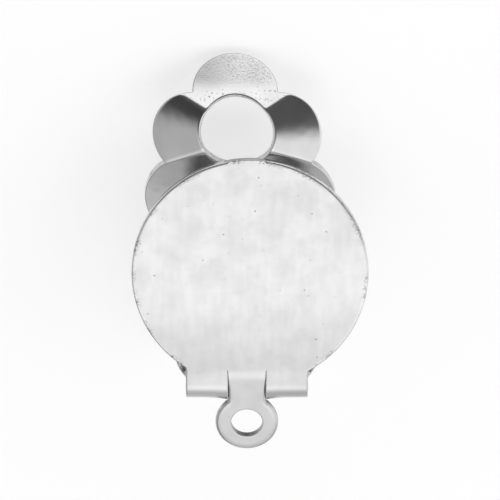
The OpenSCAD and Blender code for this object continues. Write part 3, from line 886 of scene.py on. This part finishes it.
drawn_strip, tree, shader, place, _, _, torn, colour = plated_steel(
    "drawn_nickel_plate", "cfcfcf", "c4c4c4", CLIP_SHEET,
)
facing = add_node(tree, "ShaderNodeNewGeometry").outputs["Normal"]
sideways = add_node(
    tree, "ShaderNodeVectorMath", [facing, ACROSS], operation="DOT_PRODUCT",
).outputs["Value"]
sideways = add_node(tree, "ShaderNodeMath", [sideways, 2], operation="POWER")
sides = add_node(
    tree, "ShaderNodeMapRange", [sideways, *SIDE_FACING], interpolation_type="SMOOTHSTEP",
)
marks = add_node(tree, "ShaderNodeMath", [sides, torn], operation="MULTIPLY")
rough = add_node(tree, "ShaderNodeMapping", {"Vector": place, "Scale": DRAWN_STRETCH})
rough = add_node(
    tree, "ShaderNodeTexNoise", {"Vector": rough, "Scale": 1 / DRAWN_LINE, "Detail": 3},
)
for levels in (LINE_SHOWS, (0, 1, DRAWN_ROUGH, LINE_ROUGH)):
    rough = add_node(
        tree, "ShaderNodeMapRange", [rough, *levels], interpolation_type="SMOOTHSTEP",
    )
bump = show_marks(tree, shader, colour, marks, "a0a0a0", rough, marks, MARKED_ROUGH, marks)
tree.links.new(bump.outputs[0], shader.inputs["Normal"])

path = tongue_path()
path_points = lay(np.stack([np.full(len(path), -STRAP_SHIFT), path[:, 0], path[:, 1]], axis=-1))
path_mesh = bpy.data.meshes.new("tongue_path")
path_mesh.from_pydata(path_points.tolist(), [(i, i + 1) for i in range(len(path) - 1)], [])
tongue = grown("spring_tongue_strip", path_mesh, strip_tree(), {
    "Width": 2 * TONGUE_HALF * MM, "Thickness": CLIP_SHEET * MM, "Edge radius": CLIP_EDGE * MM,
    "Metal": drawn_strip,
})
for vertex in tongue.data.vertices:
    up = (vertex.co - Vector(PAD_CENTRE)).dot(Vector(PAD_UP)) + PIVOT_DROP * MM
    vertex.co.x -= up * math.tan(CLIP_LEAN)
tongue.data.shade_smooth()
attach(tongue, "clip")
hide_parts("spring_tongue")


# Table: a sheet of opal acrylic over a weak light panel, as under small goods in a light tent,
# so that shadows on it stay pale.
TABLE_HALF = 1.0
TABLE_ROUGH, TABLE_GLOW = 0.7, 0.58
table_mesh = bpy.data.meshes.new("table_top")
corners = [(-1, -1), (1, -1), (1, 1), (-1, 1)]
corners = [(x * TABLE_HALF, y * TABLE_HALF, 0) for x, y in corners]
table_mesh.from_pydata(corners, [], [(0, 1, 2, 3)])
table = bpy.data.objects.new("table_top", table_mesh)
bpy.context.collection.objects.link(table)
acrylic = bpy.data.materials.new("opal_acrylic")
acrylic.use_nodes = True
shader = acrylic.node_tree.nodes["Principled BSDF"]
shader.inputs["Base Color"].default_value = linear("c0c0c0")
shader.inputs["Roughness"].default_value = TABLE_ROUGH
shader.inputs["Emission Color"].default_value = linear("ffffff")
shader.inputs["Emission Strength"].default_value = TABLE_GLOW
table_mesh.materials.append(acrylic)


# Camera: in front of the pad, 17.3 degrees above its normal, far off behind a long lens. The
# flower is at the top of its picture.
VIEW_RISE = math.radians(17.3)
PICTURE, PIXELS_PER_MM = 500, 15.76
VIEW_SPAN = PICTURE / PIXELS_PER_MM
VIEW_Z = 5.1
LENS = 600
SENSOR = 36
NEAR, FAR = 0.01, 10
camera = bpy.data.objects.new("camera", bpy.data.cameras.new("camera"))
bpy.context.collection.objects.link(camera)
camera.data.lens = LENS
camera.data.clip_start, camera.data.clip_end = NEAR, FAR
view_out = Vector(PAD_NORMAL) * math.cos(VIEW_RISE) + Vector(PAD_UP) * math.sin(VIEW_RISE)
view_up = Vector(PAD_UP) * math.cos(VIEW_RISE) - Vector(PAD_NORMAL) * math.sin(VIEW_RISE)
turn = Matrix((view_up.cross(view_out), view_up, view_out)).transposed()
middle = Vector((0, 0, VIEW_Z * MM))
camera.matrix_world = (
    Matrix.Translation(middle + view_out * (VIEW_SPAN * MM * LENS / SENSOR)) @ turn.to_4x4()
)
bpy.context.scene.camera = camera


# Light: a white tent, brightest over the pad and dimmer all round. The opening for the camera
# is dark and soft-edged, and shows in the side petals.
OPENING_RISE = math.radians(13)
OPENING_RIGHT = 0.05
OPENING_WIDE, WIDE_POWER = 0.62, 4
OPENING_TALL, TALL_POWER = 0.455, 2
OVERHEAD, BELOW, BEYOND, OPENING = 1.7, 0.8, 0.88, 0.09
LEFT_SHARE, RIGHT_SHARE = 0.36, 0.72
OPENING_EDGE, BEHIND_FROM = (0.7, 1.15), (0.2, 0.0)
BELOW_FROM, BEYOND_FROM = (-0.5, -0.97), (0.0, 0.6)
LEFT_FROM, RIGHT_FROM = (-0.5, -0.1), (0.15, 0.5)

world = bpy.data.worlds.new("light_tent")
bpy.context.scene.world = world
world.use_nodes = True
tree = world.node_tree
background = tree.nodes["Background"]
towards = add_node(tree, "ShaderNodeTexCoord").outputs["Generated"]
opening_out = Vector(PAD_NORMAL) * math.cos(OPENING_RISE) + Vector(PAD_UP) * math.sin(OPENING_RISE)
opening_up = Vector(PAD_UP) * math.cos(OPENING_RISE) - Vector(PAD_NORMAL) * math.sin(OPENING_RISE)
across, up_pad, up_opening, out_opening = (
    add_node(
        tree, "ShaderNodeVectorMath", [towards, axis], operation="DOT_PRODUCT",
    ).outputs["Value"]
    for axis in (ACROSS, PAD_UP, opening_up, opening_out)
)
from_opening = []
for direction, middle_at, reach, power in (
    (across, OPENING_RIGHT, OPENING_WIDE, WIDE_POWER), (up_opening, 0, OPENING_TALL, TALL_POWER),
):
    share = add_node(
        tree, "ShaderNodeMath", [direction, 1 / reach, -middle_at / reach],
        operation="MULTIPLY_ADD",
    )
    share = add_node(tree, "ShaderNodeMath", [share, power], operation="POWER")
    from_opening.append(share)
from_opening = add_node(tree, "ShaderNodeMath", from_opening, operation="ADD")
cloth = add_node(
    tree, "ShaderNodeMapRange", [from_opening, *OPENING_EDGE, OPENING, 1],
    interpolation_type="SMOOTHSTEP",
)
behind = add_node(
    tree, "ShaderNodeMapRange", [out_opening, *BEHIND_FROM], interpolation_type="SMOOTHSTEP",
)
cloth = add_node(tree, "ShaderNodeMath", [cloth, behind], operation="MAXIMUM")
shading = overlap(
    tree, (up_pad, *BELOW_FROM, OVERHEAD, BELOW), (up_pad, *BEYOND_FROM, 1, BEYOND),
    (across, *LEFT_FROM, LEFT_SHARE, 1), (across, *RIGHT_FROM, 1, RIGHT_SHARE),
)
strength = add_node(tree, "ShaderNodeMath", [cloth, shading], operation="MULTIPLY")
tree.links.new(strength.outputs[0], background.inputs["Strength"])
background.inputs["Color"].default_value = linear("ffffff")
bpy.context.scene.view_settings.view_transform = "Standard"
